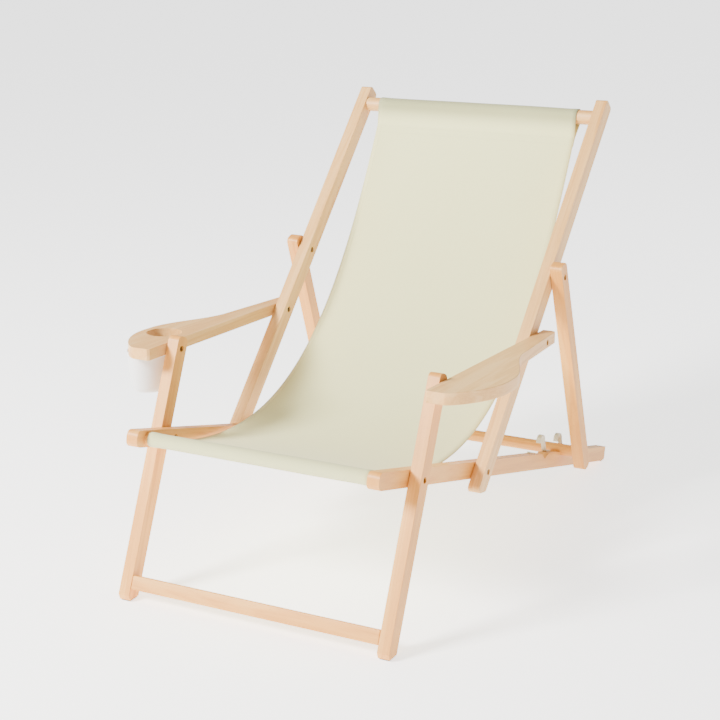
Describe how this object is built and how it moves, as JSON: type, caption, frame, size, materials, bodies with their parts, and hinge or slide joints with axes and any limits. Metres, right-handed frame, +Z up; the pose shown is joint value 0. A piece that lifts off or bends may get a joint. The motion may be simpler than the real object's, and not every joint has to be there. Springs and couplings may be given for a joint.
{
  "type": "folding beach chair",
  "caption": "Folding wooden sling chair with armrests, a cup hole with a pouch, and a prop frame that stands in notches of the seat rails.",
  "frame": {"origin": "bottom centre of the chair's box, on the floor", "axes": "-Y is the chair's front, +X the sitter's left, +Z up"},
  "size_m": [0.789, 1.1109, 0.8329],
  "materials": {
    "beech": "clear satin oil on light beech",
    "canvas": "plain woven canvas, off-white",
    "pouch_cloth": "plain woven cloth, light grey",
    "steel": "plated steel",
    "glide_rubber": "matt black",
    "cream_plastic": "cream, semi-matt"
  },
  "bodies": {
    "seat_frame": {"seat_rail_left": "beech", "seat_rail_right": "beech", "seat_front_bar": "beech", "rail_glide_left": "glide_rubber", "rail_glide_right": "glide_rubber", "retaining_clip_front_left": "cream_plastic", "retaining_clip_front_right": "cream_plastic", "retaining_clip_rear_left": "cream_plastic", "retaining_clip_rear_right": "cream_plastic", "stop_button_left": "cream_plastic", "stop_button_right": "cream_plastic", "sling_seat": "canvas", "leg_pivot_bolt_left": "steel", "leg_pivot_nut_left": "steel", "leg_pivot_bolt_right": "steel", "leg_pivot_nut_right": "steel", "leg_pivot_washer_left": "steel", "leg_pivot_washer_right": "steel", "back_pivot_bolt_left": "steel", "back_pivot_nut_left": "steel", "back_pivot_bolt_right": "steel", "back_pivot_nut_right": "steel", "back_pivot_washer_left": "steel", "back_pivot_washer_right": "steel"},
    "leg_frame": {"front_leg_left": "beech", "front_leg_right": "beech", "leg_cross_rail": "beech", "leg_glide_left": "glide_rubber", "leg_glide_right": "glide_rubber", "arm_front_bolt_left": "steel", "arm_front_bolt_right": "steel", "arm_front_washer_left": "steel", "arm_front_washer_right": "steel"},
    "back_frame": {"back_rail_left": "beech", "back_rail_right": "beech", "back_top_bar": "beech", "sling_back": "canvas", "arm_pivot_bolt_left": "steel", "arm_pivot_nut_left": "steel", "arm_pivot_bolt_right": "steel", "arm_pivot_nut_right": "steel", "arm_pivot_washer_left": "steel", "arm_pivot_washer_right": "steel", "prop_pivot_bolt_left": "steel", "prop_pivot_nut_left": "steel", "prop_pivot_bolt_right": "steel", "prop_pivot_nut_right": "steel", "prop_pivot_washer_left": "steel", "prop_pivot_washer_right": "steel"},
    "armrests": {"armrest_left": "beech", "armrest_right": "beech", "cup_pouch": "pouch_cloth"},
    "prop_frame": {"prop_leg_left": "beech", "prop_leg_right": "beech", "prop_bar": "beech"}
  },
  "joints": [
    {"name": "back_fold", "type": "hinge", "parent": "seat_frame", "child": "back_frame", "pos_m": [0, -0.1397, 0.21225], "axis": [-1, 0, 0], "range_deg": [0, 61.5], "deforming": ["retaining_clip_front_left", "retaining_clip_front_right", "retaining_clip_rear_left", "retaining_clip_rear_right"]},
    {"name": "leg_fold", "type": "hinge", "parent": "seat_frame", "child": "leg_frame", "pos_m": [0, -0.408, 0.2895], "axis": [-1, 0, 0], "range_deg": [0, 80.79]},
    {"name": "armrest_fold", "type": "hinge", "parent": "back_frame", "child": "armrests", "pos_m": [0, 0.06321, 0.41874], "axis": [1, 0, 0], "range_deg": [0, 48.79]},
    {"name": "prop_fold", "type": "hinge", "parent": "back_frame", "child": "prop_frame", "pos_m": [0, 0.1673, 0.52465], "axis": [1, 0, 0], "range_deg": [0, 126.69]}
  ],
  "couplings": [
    {"joint": "leg_fold", "follows": "back_fold", "ratio": 1.3135},
    {"joint": "armrest_fold", "follows": "back_fold", "ratio": 0.7933},
    {"joint": "prop_fold", "follows": "back_fold", "ratio": 2.06}
  ]
}
